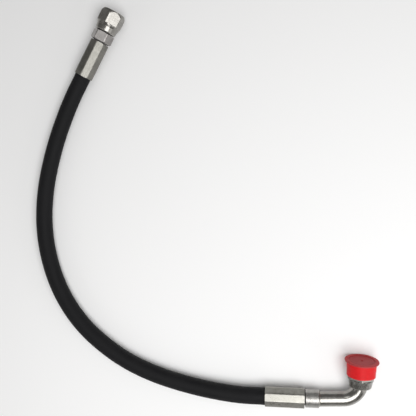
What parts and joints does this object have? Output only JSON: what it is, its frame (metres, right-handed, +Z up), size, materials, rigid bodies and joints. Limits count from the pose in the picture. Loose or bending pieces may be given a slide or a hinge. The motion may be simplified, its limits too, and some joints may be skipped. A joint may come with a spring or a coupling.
{
  "type": "hydraulic hose assembly",
  "caption": "Wire-braided hydraulic hose with crimped fittings: a straight swivel nut at one end and a 90 degree elbow swivel nut with a push-on cap at the other.",
  "frame": {"origin": "on the surface that the assembly lies on, under the middle of the fittings' box", "axes": "+Z up from the surface, +X towards the elbow's end, along its tail, and +Y the way the elbow's outlet points"},
  "size_m": [0.34, 0.3939, 0.0317],
  "materials": {
    "cover_rubber": "matt, with a faint wrapped-cloth texture",
    "braid_wire": "brass-coated steel wire braid",
    "insulation_rubber": "matt",
    "tube_rubber": "smooth, matt",
    "zinc_steel": "zinc-plated, satin, with fine machining marks",
    "ferrule_steel": "zinc-plated, satin, with die marks from crimping",
    "collar_steel": "zinc-plated, turned",
    "braze": "dull braze metal under zinc plating",
    "cap_plastic": "soft moulded polyethylene, semi-gloss"
  },
  "bodies": {
    "root": {"hose_inner_tube": "tube_rubber", "hose_inner_braid": "braid_wire", "hose_insulation_layer": "insulation_rubber", "hose_outer_braid": "braid_wire", "hose_cover": "cover_rubber", "straight_stem": "zinc_steel", "straight_ferrule": "ferrule_steel", "elbow_stem": "collar_steel", "elbow_ferrule": "ferrule_steel", "elbow_tube": "zinc_steel", "elbow_seat": "zinc_steel", "stem_braze_ring": "braze", "seat_braze_ring": "braze"},
    "straight_nut": {"straight_nut": "zinc_steel"},
    "elbow_nut": {"elbow_nut": "zinc_steel"},
    "cap": {"cap": "cap_plastic"}
  },
  "joints": [
    {"name": "straight_swivel", "type": "hinge", "parent": "root", "child": "straight_nut", "pos_m": [-0.11015, 0.18669, 0.01335], "axis": [0.4749, 0.8784, 0.0541], "continuous": true},
    {"name": "elbow_swivel", "type": "hinge", "parent": "root", "child": "elbow_nut", "pos_m": [0.13313, -0.15758, 0.01458], "axis": [0.0432, 0.9896, 0.1374], "continuous": true},
    {"name": "cap_pull", "type": "slide", "parent": "elbow_nut", "child": "cap", "axis": [0.0432, 0.9896, 0.1374], "range_m": [0, 0.03]}
  ]
}
